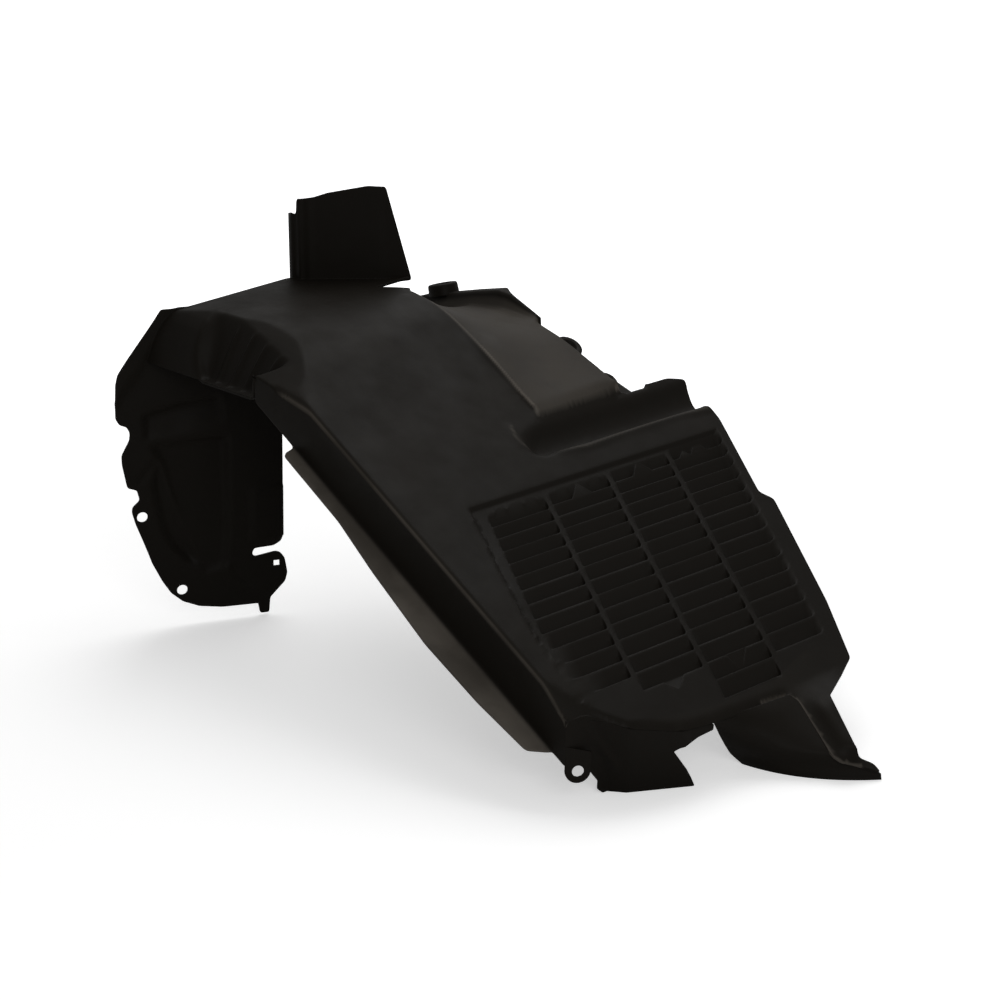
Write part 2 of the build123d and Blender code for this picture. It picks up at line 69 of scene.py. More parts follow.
@dataclass
class Studio:
    """Floor, lamps and camera.

    The camera stands where the photograph was taken from: to the right of the wheel
    opening and a little above the piece.
    """

    azimuth: float = 46.0
    elevation: float = 19.5
    distance: float = 3.0
    focal_pixels: float = 2700.0
    image_pixels: float = 1000.0
    sensor: float = 36.0
    target: tuple[float, float, float] = (-0.0203801, -0.0548939, 0.22)
    floor_size: float = 14.0
    lift: float = 0.47
    shadow_reach: tuple[float, float] = (0.7, 1.6)

    def view_back(self) -> np.ndarray:
        """Return the unit vector from the target towards the camera."""
        a, e = np.radians(self.azimuth), np.radians(self.elevation)
        return np.array([np.sin(a) * np.cos(e), -np.cos(a) * np.cos(e), np.sin(e)])

    def camera(self) -> bpy.types.Object:
        """Make the camera and set it as the scene's own.

        Returns:
            The camera object.
        """
        data = bpy.data.cameras.new("camera")
        data.sensor_width = self.sensor
        data.lens = self.focal_pixels / self.image_pixels * self.sensor
        data.clip_end = 60.0
        obj = bpy.data.objects.new("camera", data)
        bpy.context.scene.collection.objects.link(obj)
        obj.location = Vector(self.target) + Vector(self.view_back()) * self.distance
        look = Vector(self.target) - obj.location
        obj.rotation_euler = look.to_track_quat("-Z", "Y").to_euler()
        bpy.context.scene.camera = obj
        return obj

    def lamp(self, light: Light) -> bpy.types.Object:
        """Make one rectangular area lamp aimed at the piece.

        Args:
            light: Which lamp.

        Returns:
            The lamp object.
        """
        name, place, aim, width, depth, power = light.value
        data = bpy.data.lights.new(name, "AREA")
        data.shape = "RECTANGLE"
        data.size = width
        data.size_y = depth
        data.energy = power
        obj = bpy.data.objects.new(name, data)
        bpy.context.scene.collection.objects.link(obj)
        obj.location = place
        obj.rotation_euler = (Vector(aim) - Vector(place)).to_track_quat("-Z", "Y").to_euler()
        return obj

    def white_to_camera(self, tree: bpy.types.NodeTree, lit: bpy.types.NodeSocket) -> bpy.types.NodeSocket:
        """Mix a lit shader with plain white for what the camera sees directly.

        Args:
            tree: The material's or world's node tree.
            lit: The shader that gives and takes light.

        Returns:
            The mixed shader's output.
        """
        path = tree.nodes.new("ShaderNodeLightPath")
        white = tree.nodes.new("ShaderNodeEmission")
        white.inputs["Color"].default_value = (1.0, 1.0, 1.0, 1.0)
        white.inputs["Strength"].default_value = 1.0
        mix = tree.nodes.new("ShaderNodeMixShader")
        tree.links.new(path.outputs["Is Camera Ray"], mix.inputs[0])
        tree.links.new(lit, mix.inputs[1])
        tree.links.new(white.outputs[0], mix.inputs[2])
        return mix.outputs[0]

    def floor(self) -> bpy.types.Object:
        """Make the plain pale floor as one flat grid at the piece's feet."""
        half = self.floor_size / 2
        mesh = bpy.data.meshes.new("floor")
        corners = np.array([[-half, -half, 0.0], [half, -half, 0.0], [half, half, 0.0], [-half, half, 0.0]])
        mesh.from_pydata(corners.tolist(), [], [(0, 1, 2, 3)])
        obj = bpy.data.objects.new("floor", mesh)
        bpy.context.scene.collection.objects.link(obj)
        material = bpy.data.materials.new("pale_floor")
        material.use_nodes = True
        tree = material.node_tree
        lit = tree.nodes["Principled BSDF"]
        lit.inputs["Base Color"].default_value = (0.80, 0.80, 0.80, 1.0)
        lit.inputs["Roughness"].default_value = 0.8
        # The camera sees the lit floor and its shadow brought up to white, and plain white far out
        place = tree.nodes.new("ShaderNodeTexCoord").outputs["Object"]
        length = tree.nodes.new("ShaderNodeVectorMath")
        length.operation = "LENGTH"
        tree.links.new(place, length.inputs[0])
        far = tree.nodes.new("ShaderNodeMapRange")
        far.interpolation_type = "SMOOTHSTEP"
        for socket, value in zip(("From Min", "From Max", "To Min", "To Max"), (*self.shadow_reach, self.lift, 1.0)):
            far.inputs[socket].default_value = value
        tree.links.new(length.outputs["Value"], far.inputs["Value"])
        path = tree.nodes.new("ShaderNodeLightPath")
        strength = tree.nodes.new("ShaderNodeMath")
        strength.operation = "MULTIPLY"
        tree.links.new(far.outputs["Result"], strength.inputs[0])
        tree.links.new(path.outputs["Is Camera Ray"], strength.inputs[1])
        glow = tree.nodes.new("ShaderNodeEmission")
        tree.links.new(strength.outputs[0], glow.inputs["Strength"])
        both = tree.nodes.new("ShaderNodeAddShader")
        tree.links.new(lit.outputs[0], both.inputs[0])
        tree.links.new(glow.outputs[0], both.inputs[1])
        tree.links.new(both.outputs[0], tree.nodes["Material Output"].inputs["Surface"])
        mesh.materials.append(material)
        return obj

    def world(self) -> None:
        """Give the world a soft even light, and plain white where the camera looks past the floor."""
        world = bpy.data.worlds.new("studio")
        world.use_nodes = True
        bpy.context.scene.world = world
        tree = world.node_tree
        for node in list(tree.nodes):
            tree.nodes.remove(node)
        out = tree.nodes.new("ShaderNodeOutputWorld")
        soft = tree.nodes.new("ShaderNodeBackground")
        soft.inputs["Color"].default_value = (1.0, 1.0, 1.0, 1.0)
        soft.inputs["Strength"].default_value = 0.30
        tree.links.new(self.white_to_camera(tree, soft.outputs[0]), out.inputs["Surface"])

    def build(self) -> None:
        """Make the whole studio."""
        self.camera()
        for light in Light:
            self.lamp(light)
        self.floor()
        self.world()
        bpy.context.scene.view_settings.view_transform = "Standard"


@dataclass(frozen=True)
class BlackPlastic:
    """Satin black moulding with a fine grain, painted highlights on edges and raised lines, dust that lies on what
    faces up, and painted shade where the dust is held back.
    """

    name: str = "black_plastic"
    base: tuple[float, float, float] = (0.0074, 0.0061, 0.0045)
    dust_and_shade: tuple[float, float, float] = (0.034, 0.029, 0.023)
    highlight_tone: tuple[float, float, float] = (0.100, 0.088, 0.074)
    roughness: float = 0.50
    specular: float = 0.07
    edge_radius: float = 0.0012

    def mix(
        self,
        tree: bpy.types.NodeTree,
        factor: bpy.types.NodeSocket,
        first: bpy.types.NodeSocket | tuple[float, float, float],
        second: tuple[float, float, float],
    ) -> bpy.types.NodeSocket:
        """Blend two colours by a factor.

        Args:
            tree: The material's node tree.
            factor: 0 gives the first colour, 1 the second.
            first: A colour or a colour output.
            second: A colour.

        Returns:
            The blended colour.
        """
        node = tree.nodes.new("ShaderNodeMix")
        node.data_type = "RGBA"
        tree.links.new(factor, node.inputs["Factor"])
        if isinstance(first, tuple):
            node.inputs[6].default_value = (*first, 1.0)
        else:
            tree.links.new(first, node.inputs[6])
        node.inputs[7].default_value = (*second, 1.0)
        return node.outputs[2]

    def noise(
        self, tree: bpy.types.NodeTree, place: bpy.types.NodeSocket, scale: float, detail: float
    ) -> bpy.types.NodeSocket:
        """Noise on the piece's own coordinates.

        Args:
            tree: The material's node tree.
            place: Object coordinates.
            scale: Waves per metre.
            detail: Octaves.

        Returns:
            The noise value, about 0 to 1.
        """
        node = tree.nodes.new("ShaderNodeTexNoise")
        node.inputs["Scale"].default_value = scale
        node.inputs["Detail"].default_value = detail
        node.inputs["Roughness"].default_value = 0.55
        tree.links.new(place, node.inputs["Vector"])
        return node.outputs["Fac"]

    def ramp(
        self, tree: bpy.types.NodeTree, value: bpy.types.NodeSocket, low: float, high: float, top: float = 1.0,
        bottom: float = 0.0,
    ) -> bpy.types.NodeSocket:
        """Map a value smoothly from bottom at low to top at high.

        Args:
            tree: The material's node tree.
            value: What is mapped.
            low: Where the result leaves its bottom.
            high: Where the result reaches its top.
            top: The largest result.
            bottom: The smallest result.

        Returns:
            The mapped value.
        """
        node = tree.nodes.new("ShaderNodeMapRange")
        node.interpolation_type = "SMOOTHSTEP"
        node.inputs["From Min"].default_value = low
        node.inputs["From Max"].default_value = high
        node.inputs["To Min"].default_value = bottom
        node.inputs["To Max"].default_value = top
        tree.links.new(value, node.inputs["Value"])
        return node.outputs["Result"]

    def product(
        self, tree: bpy.types.NodeTree, first: bpy.types.NodeSocket, second: bpy.types.NodeSocket
    ) -> bpy.types.NodeSocket:
        """Multiply two values and return the product."""
        node = tree.nodes.new("ShaderNodeMath")
        node.operation = "MULTIPLY"
        tree.links.new(first, node.inputs[0])
        tree.links.new(second, node.inputs[1])
        return node.outputs[0]

    def attribute(self, tree: bpy.types.NodeTree, name: str) -> bpy.types.NodeSocket:
        """Read one of the piece's own point attributes."""
        node = tree.nodes.new("ShaderNodeAttribute")
        node.attribute_name = name
        return node.outputs["Fac"]

    def material(self) -> bpy.types.Material:
        """Make the node material.

        Returns:
            The finished material.
        """
        material = bpy.data.materials.new(self.name)
        material.use_nodes = True
        tree = material.node_tree
        shader = tree.nodes["Principled BSDF"]
        place = tree.nodes.new("ShaderNodeTexCoord").outputs["Object"]

        # Rounded edges: the shader's normal turns over within the edge radius
        rounded = tree.nodes.new("ShaderNodeBevel")
        rounded.samples = 8
        rounded.inputs["Radius"].default_value = self.edge_radius

        # Dust lies where the surface faces up, in broad faint clouds and fine specks. The piece's dust share is low on
        # the louvres, the recess and the side wall, which paints shade there as darker plastic
        geometry = tree.nodes.new("ShaderNodeNewGeometry")
        split = tree.nodes.new("ShaderNodeSeparateXYZ")
        tree.links.new(geometry.outputs["Normal"], split.inputs[0])
        dust_and_shade_share = self.attribute(tree, "dust_and_shade")
        upward = self.product(tree, self.ramp(tree, split.outputs["Z"], 0.1, 1.0), dust_and_shade_share)
        clouds = self.ramp(tree, self.noise(tree, place, 7.0, 5.0), 0.35, 0.75, 0.20)
        specks = self.ramp(tree, self.noise(tree, place, 900.0, 2.0), 0.62, 0.80, 0.5)
        dusty = self.mix(tree, self.product(tree, upward, clouds), self.base, self.dust_and_shade)
        specked = self.mix(tree, self.product(tree, upward, specks), dusty, self.dust_and_shade)
        # Painted highlights: edges, raised lines, the strip and the lip flange are painted pale, more in some places
        # than in others
        patchy = self.ramp(tree, self.noise(tree, place, 11.0, 5.0), 0.35, 0.62, 1.0, 0.6)
        highlighted = self.mix(tree, self.product(tree, self.attribute(tree, "painted_highlight"), patchy), specked, self.highlight_tone)
        tree.links.new(highlighted, shader.inputs["Base Color"])

        # Gloss varies with handling marks
        marks = tree.nodes.new("ShaderNodeMapRange")
        marks.inputs["From Min"].default_value = 0.3
        marks.inputs["From Max"].default_value = 0.7
        marks.inputs["To Min"].default_value = self.roughness - 0.06
        marks.inputs["To Max"].default_value = self.roughness + 0.10
        tree.links.new(self.noise(tree, place, 22.0, 6.0), marks.inputs["Value"])
        tree.links.new(marks.outputs["Result"], shader.inputs["Roughness"])
        shader.inputs["Specular IOR Level"].default_value = self.specular

        # Fine moulded grain over slow unevenness of the sheet
        grain = tree.nodes.new("ShaderNodeBump")
        grain.inputs["Strength"].default_value = 0.10
        grain.inputs["Distance"].default_value = 0.0004
        tree.links.new(self.noise(tree, place, 1100.0, 3.0), grain.inputs["Height"])
        tree.links.new(rounded.outputs["Normal"], grain.inputs["Normal"])
        waves = tree.nodes.new("ShaderNodeBump")
        waves.inputs["Strength"].default_value = 0.35
        waves.inputs["Distance"].default_value = 0.004
        tree.links.new(self.noise(tree, place, 14.0, 2.0), waves.inputs["Height"])
        tree.links.new(grain.outputs["Normal"], waves.inputs["Normal"])
        tree.links.new(waves.outputs["Normal"], shader.inputs["Normal"])
        return material


# The piece's own working frame: X along the car from the upright leg to the louvred
# feet, Y inboard from the wheel opening, Z up. Millimetres, moved to the frame at the end
MOVE = np.array([20.3801, 234.8939, 0.0])
SLOPE = np.tan(np.radians(30.0))
DECK, KNEE_X, KNEE_RADIUS = 398.0, -211.3, 200.0
KNEE_START = KNEE_X - KNEE_RADIUS * np.tan(np.radians(15.0))
KNEE_END = KNEE_START + KNEE_RADIUS * 0.5
OPENING = 331.0
WALL_DROP = 66.0


def soft(value: np.ndarray, low: float, high: float) -> np.ndarray:
    """Rise smoothly from 0 at low to 1 at high: 3t^2 - 2t^3 of the clamped share t."""
    t = np.clip((value - low) / (high - low), 0.0, 1.0)
    return t * t * (3.0 - 2.0 * t)


def ramp(x: np.ndarray) -> np.ndarray:
    """Height of the straight ramp: the deck's height less the slope times the way past the knee."""
    return DECK - SLOPE * (x - KNEE_X)


def side_profile(x: np.ndarray) -> np.ndarray:
    """Height of the skin in side view: level deck, an arc over the knee, then the straight ramp."""
    arc = DECK - KNEE_RADIUS + np.sqrt(np.maximum(KNEE_RADIUS**2 - (x - KNEE_START) ** 2, 0.0))
    return np.where(x < KNEE_START, DECK, np.where(x < KNEE_END, arc, ramp(x)))


def plane_height(corners: tuple, x: np.ndarray, y: np.ndarray) -> np.ndarray:
    """Height of the plane through three points at each x and y."""
    first, second, third = (np.array(corner, dtype=float) for corner in corners)
    normal = np.cross(second - first, third - first)
    return first[2] - (normal[0] * (x - first[0]) + normal[1] * (y - first[1])) / normal[2]


def inside(polygon: np.ndarray, points: np.ndarray) -> np.ndarray:
    """Tell which points lie in a polygon, by counting the edges that a ray to the right crosses.

    Args:
        polygon: Corners, one row each.
        points: Points, one row each.

    Returns:
        True for each point inside.
    """
    hit = np.zeros(len(points), dtype=bool)
    for (ax, ay), (bx, by) in zip(polygon, np.roll(polygon, -1, axis=0)):
        spans = (ay > points[:, 1]) != (by > points[:, 1])
        cross = ax + (points[:, 1] - ay) * (bx - ax) / (by - ay if by != ay else 1.0)
        hit ^= spans & (points[:, 0] < cross)
    return hit


def distance(polygon: np.ndarray, points: np.ndarray, closed: bool = True) -> np.ndarray:
    """Distance from each point to the nearest of a line's straight runs.

    Args:
        polygon: Corners, one row each.
        points: Points, one row each.
        closed: Whether the last corner joins the first.

    Returns:
        The distances.
    """
    best = np.full(len(points), 1e9)
    starts = polygon if closed else polygon[:-1]
    ends = np.roll(polygon, -1, axis=0) if closed else polygon[1:]
    for start, end in zip(starts, ends):
        run = end - start
        share = np.clip(((points - start) @ run) / max(run @ run, 1e-9), 0.0, 1.0)
        best = np.minimum(best, np.linalg.norm(points - start - share[:, None] * run, axis=1))
    return best


def rounded(corners: tuple, radius: float, step: float = 2.0) -> np.ndarray:
    """Round a closed outline: walk it in even steps, then average each point with its neighbours.

    Args:
        corners: The outline's corners in order.
        radius: About how far the rounding reaches along each side, in millimetres.
        step: Distance between the points.

    Returns:
        The rounded outline's points.
    """
    points = np.array(corners, dtype=float)
    ring = np.vstack([points, points[:1]])
    lengths = np.linalg.norm(np.diff(ring, axis=0), axis=1)
    along = np.concatenate([[0.0], np.cumsum(lengths)])
    count = int(along[-1] / step)
    walk = np.linspace(0.0, along[-1], count, endpoint=False)
    line = np.stack([np.interp(walk, along, ring[:, k]) for k in range(2)], axis=1)
    for _ in range(max(1, int((radius / step) ** 2))):
        line = 0.5 * line + 0.25 * (np.roll(line, 1, axis=0) + np.roll(line, -1, axis=0))
    return line


@dataclass
class Sheet:
    """Points and triangles of one sheet of the moulding, in the working frame."""

    points: np.ndarray
    triangles: np.ndarray
    edge: np.ndarray
    painted_highlight: np.ndarray | float = 0.0
    dust_and_shade: np.ndarray | float = 0.5


def grid_points(box: tuple, steps: tuple) -> np.ndarray:
    """Even grid of points over a box, every other row shifted by half a step."""
    xs = np.arange(box[0], box[1], steps[0])
    ys = np.arange(box[2], box[3], steps[1])
    x, y = np.meshgrid(xs, ys)
    x = x + (np.arange(len(ys)) % 2)[:, None] * steps[0] * 0.5
    return np.stack([x.ravel(), y.ravel()], axis=1)


def cut_sheet(outline: np.ndarray, holes: list, points: np.ndarray, margin: float = 1.2, skew: float = 0.0) -> Sheet:
    """Cut a flat sheet to an outline with holes and divide it into triangles between the points.

    Args:
        outline: The sheet's edge, one row for each point.
        holes: The edges of its holes.
        points: Points inside it that the triangles join.
        margin: Least distance between those points and an edge.
        skew: How far the second coordinate is moved on for each step of the first while the
            triangles are chosen, so that they follow slanted rows of points.

    Returns:
        The flat sheet, with two coordinates for each point.
    """
    loops = [outline, *holes]
    keep = inside(outline, points) & (distance(outline, points) > margin)
    for hole in holes:
        keep &= ~inside(hole, points) & (distance(hole, points) > margin)
    every = np.vstack([*loops, points[keep]])
    every[:, 1] += skew * every[:, 0]
    faces, start = [], 0
    for loop in loops:
        faces.append(list(range(start, start + len(loop))))
        start += len(loop)
    found, _, triangles, _, _, _ = delaunay_2d_cdt([Vector(p) for p in every.tolist()], [], faces, 1, 1e-6)
    flat = np.array([tuple(p) for p in found])
    flat[:, 1] -= skew * flat[:, 0]
    tri = np.array(triangles)
    middle = flat[tri].mean(axis=1)
    good = inside(outline, middle)
    for hole in holes:
        good &= ~inside(hole, middle)
    tri = tri[good]
    edge = np.minimum.reduce([distance(loop, flat) for loop in loops]) < 0.05
    return Sheet(flat, tri, edge)


def thicken(sheet: Sheet, wall: float) -> Sheet:
    """Give a sheet its wall: a second face stands behind the first, and a rim joins their edges.

    Each point's normal is the sum of its triangles' normals, weighted by their areas. The
    second face is the first one moved against the normals by the wall's thickness. An edge
    that only one triangle has is an outer edge, and gets two triangles of the rim.

    Args:
        sheet: The sheet, its triangles facing outwards.
        wall: The thickness.

    Returns:
        The closed shell.
    """
    points, tri = sheet.points, sheet.triangles
    corners = points[tri]
    face = np.cross(corners[:, 1] - corners[:, 0], corners[:, 2] - corners[:, 0])
    normal = np.stack(
        [np.bincount(tri.ravel(), weights=np.repeat(face[:, k], 3), minlength=len(points)) for k in range(3)], axis=1
    )
    normal /= np.maximum(np.linalg.norm(normal, axis=1, keepdims=True), 1e-12)
    count = len(points)
    sides = np.vstack([tri[:, [0, 1]], tri[:, [1, 2]], tri[:, [2, 0]]])
    key = sides.min(axis=1) * count + sides.max(axis=1)
    _, first, uses = np.unique(key, return_index=True, return_counts=True)
    start, end = sides[first[uses == 1]].T
    rim = np.vstack([
        np.stack([end, start, start + count], axis=1), np.stack([end, start + count, end + count], axis=1),
    ])
    return Sheet(
        np.vstack([points, points - normal * wall]), np.vstack([tri, tri[:, ::-1] + count, rim]), np.zeros(2 * count, dtype=bool)
    )


def relax(sheet: Sheet, weight: np.ndarray, rounds: int) -> np.ndarray:
    """Soften a sheet: each round moves every point towards the mean of its neighbours.

    Args:
        sheet: The sheet, whose edge points stay.
        weight: For each point, the share of the way that it moves.
        rounds: How many rounds.

    Returns:
        The softened points.
    """
    tri = sheet.triangles
    pairs = np.vstack([tri[:, [0, 1]], tri[:, [1, 2]], tri[:, [2, 0]]])
    pairs = np.vstack([pairs, pairs[:, ::-1]])
    count = np.bincount(pairs[:, 0], minlength=len(sheet.points)).astype(float)
    share = np.where(sheet.edge, 0.0, weight)[:, None]
    points = sheet.points.copy()
    for _ in range(rounds):
        total = np.stack(
            [np.bincount(pairs[:, 0], weights=points[pairs[:, 1], k], minlength=len(points)) for k in range(3)],
            axis=1,
        )
        points += share * (total / np.maximum(count, 1.0)[:, None] - points)
    return points


@dataclass
class Louvres:
    """The pressed louvre field on the ramp: four columns of slats that widen downwards."""

    feet: tuple = (73.0, 70.5, 68.0, 64.5)
    starts: tuple = (102.0, 196.0, 295.0, 394.0)
    widths: tuple = (86.0, 91.0, 91.0, 88.0)
    counts: tuple = (13, 14, 16, 15)
    pitch: float = 14.2
    growth: float = 0.22
    slant: float = 0.40
    share: float = 0.76
    depth: float = 6.6
    sunk: float = 3.5
    border: tuple = (
        (50, 84), (50, 481), (118, 452), (310, 369), (336, 262), (336, 170),
        (318, 40), (296, 31), (197, 34), (118, 61),
    )
    rows_end: tuple = (
        (46, 84), (46, 484), (118, 453), (312, 370), (340, 262), (340, 120),
        (300, 62), (280, 61), (264, 51), (232, 48), (204, 44), (118, 64),
    )

    def grid(self) -> np.ndarray:
        """Points that follow the slats: close together along the car, and across it close only at slat ends."""
        across = np.concatenate([
            start + np.array([-4.0, -0.6, 0.6, 1.8, 10.0, 30.0, width - 30.0, width - 10.0, width - 1.8, width - 0.6, width + 0.6])
            for start, width in zip(self.starts, self.widths)
        ])
        sides = np.array([76.0, 79.0, 81.0, 83.0, 84.5, 86.0, 87.5, 89.5, 92.0, 95.0, 98.5, 462.0, 466.0, 469.0, 472.0, 475.0, 478.0, 481.0, 484.0])
        along = np.arange(31.0, 350.0, 1.4)
        x, a = np.meshgrid(along, np.unique(np.concatenate([across, sides])))
        slats = np.stack([x.ravel(), (a - self.slant * (x - 60.0)).ravel()], axis=1)
        # Closer across at both ends of the field, where these points meet the skin's own
        x, a = np.meshgrid(along[(along < 58.0) | (along > 306.0)], np.arange(79.0, 484.0, 6.0))
        ends = np.stack([x.ravel(), (a - self.slant * (x - 60.0)).ravel()], axis=1)
        every = np.vstack([slats, ends])
        return every[self.gridded(every)]

    def gridded(self, points: np.ndarray) -> np.ndarray:
        """Tell which points lie where the slats' own rows of points run."""
        x, y = points[:, 0], points[:, 1]
        across = y + self.slant * (x - 60.0)
        fold = np.array(((282, 0), (296, 25), (321, 53), (343, 108), (348, 150), (352, 262)), dtype=float)
        clear = distance(fold, points, closed=False) > 10.0
        return (x > 30.0) & clear & (across > 75.0) & (across < 485.0) & (y > 12.0) & (x < 349.0)

    def depths(self, x: np.ndarray, y: np.ndarray) -> np.ndarray:
        """Depth of the field below the ramp at each point.

        The field sinks from its border and rises again towards the feet. Each louvre falls
        evenly from its upper edge to its foot, then rises at once; both its ends are steep.

        Args:
            x: Places along the car.
            y: Places inboard.

        Returns:
            Depths in millimetres.
        """
        flat = np.stack([x, y], axis=1)
        border = np.array(self.border, dtype=float)
        reach = np.where(inside(border, flat), distance(border, flat), 0.0)
        depth = self.sunk * soft(reach, 0.0, 2.6) * np.clip(1.15 - (x - 50.0) / 215.0, 0.0, 1.0)
        allowed = np.array(self.rows_end, dtype=float)
        room = np.where(inside(allowed, flat), distance(allowed, flat), 0.0)
        rows = np.zeros_like(x)
        across = y + self.slant * (x - 60.0)
        for foot, start, width, count in zip(self.feet, self.starts, self.widths, self.counts):
            side = soft(across, start - 0.4, start + 1.6) * (1.0 - soft(across, start + width - 1.6, start + width + 0.4))
            for row in range(count):
                low = foot + row * (self.pitch + row * self.growth)
                opening = self.share * (self.pitch + (2 * row + 1) * self.growth)
                fall = np.clip((x - low + opening) / opening, 0.0, 1.0)
                fall = fall * (1.0 - soft(x, low - 0.4, low + 2.4))
                rows = np.maximum(rows, self.depth * fall * side)
        depth += rows * soft(room, 0.0, 2.0)
        # A narrow groove runs beside the slats' outboard ends, deeper in short dashes
        line = np.array(((64, 84), (118, 62), (196, 38), (254, 27)), dtype=float)
        groove = np.exp(-((distance(line, flat, closed=False) / 1.7) ** 2))
        return depth + groove * (1.0 + 0.9 * soft(np.sin(x * 2.0 * np.pi / 17.0), -0.2, 0.3))


@dataclass
class Skin:
    """The arch: deck, ramp, strip, ledge and trough above, side wall and lip flange below its edge."""

    cheek_end: float = -318.0
    recess_end: float = -166.0
    rib_places: tuple = (-281.0, -258.0, -235.0, -212.0)
    rib_leans: tuple = (0.10, 0.30, 0.45, 0.75)
    strip_y: float = 270.0
    ledge_y: float = 400.0
    edge_round: float = 5.0
    louvres: Louvres = field(default_factory=Louvres)
    bead: tuple = ((-211, 273), (-147, 273), (-95, 271.5), (-66, 270), (-40, 270), (-31, 274), (-28, 289), (-28, 367), (-29, 400))
    marks: tuple = ((-318, 48), (-336, 86), (-361, 143), (-372, 176))
    outline: tuple = (
        (-403, 0), (-203, 0), (-203, -66), (-138, -66), (-136, -82), (-45, -83), (20, -92), (110, -100),
        (185, -97), (249, -89), (262, -66), (282, -66), (282, 0), (296, 25), (321, 53), (343, 108),
        (348, 150), (352, 262), (364, 268), (427, 249), (437, 252), (449, 271), (463, 288), (452, 289),
        (441, 278), (405, 294), (369, 310), (356, 352), (345, 378), (279, 415), (151, 471), (138, 460),
        (40, 500), (26, 502), (18, 492), (0, 496), (-20, 504), (-27, 482), (-27, 442), (-160, 442),
        (-160, 405), (-216, 408), (-236, 421), (-376, 421), (-376, 400), (-243, 273), (-247, 277),
        (-281, 248), (-288, 309), (-301, 283), (-382, 202), (-385, 198), (-385, 42), (-392, 31), (-399, 11),
    )

    fold: tuple = ((282, 0), (296, 25), (321, 53), (343, 108), (348, 150), (352, 262))
    tongue_edge: tuple = ((350, 226), (352, 258), (364, 268), (427, 249), (437, 252), (449, 271))
    ridge: tuple = ((-25, 221), (-13, 216), (-1, 217), (9, 229), (17, 257), (23, 294), (20, 358), (19, 445), (24, 498))

    def strip_height(self, x: np.ndarray, y: np.ndarray) -> np.ndarray:
        """Height of the strip: straight lines from the skin's profile at its outboard side to a flatter bow."""
        v = np.clip((y - self.strip_y) / (self.ledge_y - self.strip_y), 0.0, 1.0)
        left, right = -240.0 - 136.0 * v, -30.0 + 4.0 * v
        u = np.clip((x - left) / (right - left), 0.0, 1.0)
        near = side_profile(-240.0 + 210.0 * u)
        far_x = -376.0 + 350.0 * u
        bow = np.interp(far_x, (-376, -330, -280, -222, -170, -127, -26), (307, 330, 347, 354.8, 351, 338, 298.5))
        return (1.0 - v) * near + v * bow

    def heights(self, x: np.ndarray, y: np.ndarray) -> np.ndarray:
        """Height of the skin's upper face over each point.

        The side profile comes first. The trough is taken from it, the strip and the ledge are
        set in by their own heights, and the cheek, the recess and the flat corners cut it down.

        Args:
            x: Places along the car.
            y: Places inboard, 0 or more.

        Returns:
            Heights in millimetres.
        """
        z = side_profile(x)
        # Trough: falls from the strip's foot and rises steeply to a ridge. Its outboard end is
        # open towards the skin above and closed by a short crescent below
        fall = soft(x, -30.0, 3.0) * (1.0 - soft(x, 8.0, 21.0))
        end = np.hypot((x - 4.0) / 30.0, np.minimum(y - 264.0, 0.0) / 47.0)
        low_side = soft(x, -24.0, -4.0)
        z = z - 14.0 * fall * (1.0 - soft(end, 0.10 + 0.60 * low_side, 1.0))
        near = distance(np.array(self.ridge, dtype=float), np.stack([x, y], axis=1), closed=False)
        z = z + 2.4 * np.exp(-((near / 3.6) ** 2)) * soft(y, 205.0, 214.0)
        z = z - self.louvres.depths(x, y)
        # Strip, raised a little on a rounded edge, and the ledge behind it
        in_strip = soft(y, self.strip_y - 5.0, self.strip_y + 1.0) * (1.0 - soft(x, -31.0, -26.5))
        in_strip = in_strip * soft(x + (y - 270.0) * 136.0 / 130.0, -246.0, -243.0)
        raised = 4.6 * soft(x, -215.0, -90.0)
        z = z * (1.0 - in_strip) + (self.strip_height(x, y) + raised) * in_strip
        upper = np.interp(x, (-376, -281, -238, -216, -170, -133), (339, 363, 373, 372, 356, 340))
        lower = np.interp(x, (-165, -135, -26), (318, 305, 272))
        on_ledge = soft(y, self.ledge_y, self.ledge_y + 3.0) * (1.0 - soft(x, -31.0, -27.0))
        z = z * (1.0 - on_ledge) + np.where((x < -162.0), upper, lower) * on_ledge
        # A rolled bead stands along the strip's outboard edge and its heel
        bead = np.array(self.bead, dtype=float)
        near = distance(bead, np.stack([x, y], axis=1), closed=False)
        z = z + 1.5 * np.exp(-((near / 2.4) ** 2))
        # A line of short marks on the deck beside the cheek
        marks = distance(np.array(self.marks, dtype=float), np.stack([x, y], axis=1), closed=False)
        z = z - np.exp(-((marks / 1.6) ** 2)) * (0.7 + 1.2 * (np.sin(y * 2.0 * np.pi / 9.0) > 0.2))
        # Cheek and ribbed recess at the outboard top corner
        cheek = np.interp(y, (0, 5, 11, 20, 31, 42, 60), (OPENING, 352, 367, 381, 391, 397, 400))
        bank = OPENING + np.clip((y - 12.0) / 35.0, 0.0, 2.0) * (DECK - OPENING)
        for place, lean in zip(self.rib_places, self.rib_leans):
            off = x - place - lean * (y - 14.0)
            bank = bank + 10.0 * np.exp(-((off / 1.9) ** 2)) * soft(y, 4.0, 16.0) * (1.0 - soft(y, 34.0, 44.0))
        shift = soft(x + 0.25 * (y - 20.0), self.cheek_end - 8.0, self.cheek_end + 18.0)
        corner = cheek * (1.0 - shift) + bank * shift
        gone = soft(x - 0.75 * (y - 47.0), self.recess_end - 8.0, self.recess_end)
        z = np.minimum(z, corner + 90.0 * gone)
        for corners in (
            ((-331, 42, 398), (-384, 205, 398), (-394, 29, 389)),
            ((-172, 47, 375.3), (-178, 0, 353), (-110, 0, 339.5)),
            ((248, 0, 132.8), (282, 0, 98), (282, 22, 113.2)),
        ):
            z = np.minimum(z, plane_height(corners, x, y) + np.where(np.array(corners)[:, 0].max() < x - 60, 500, 0))
        return z

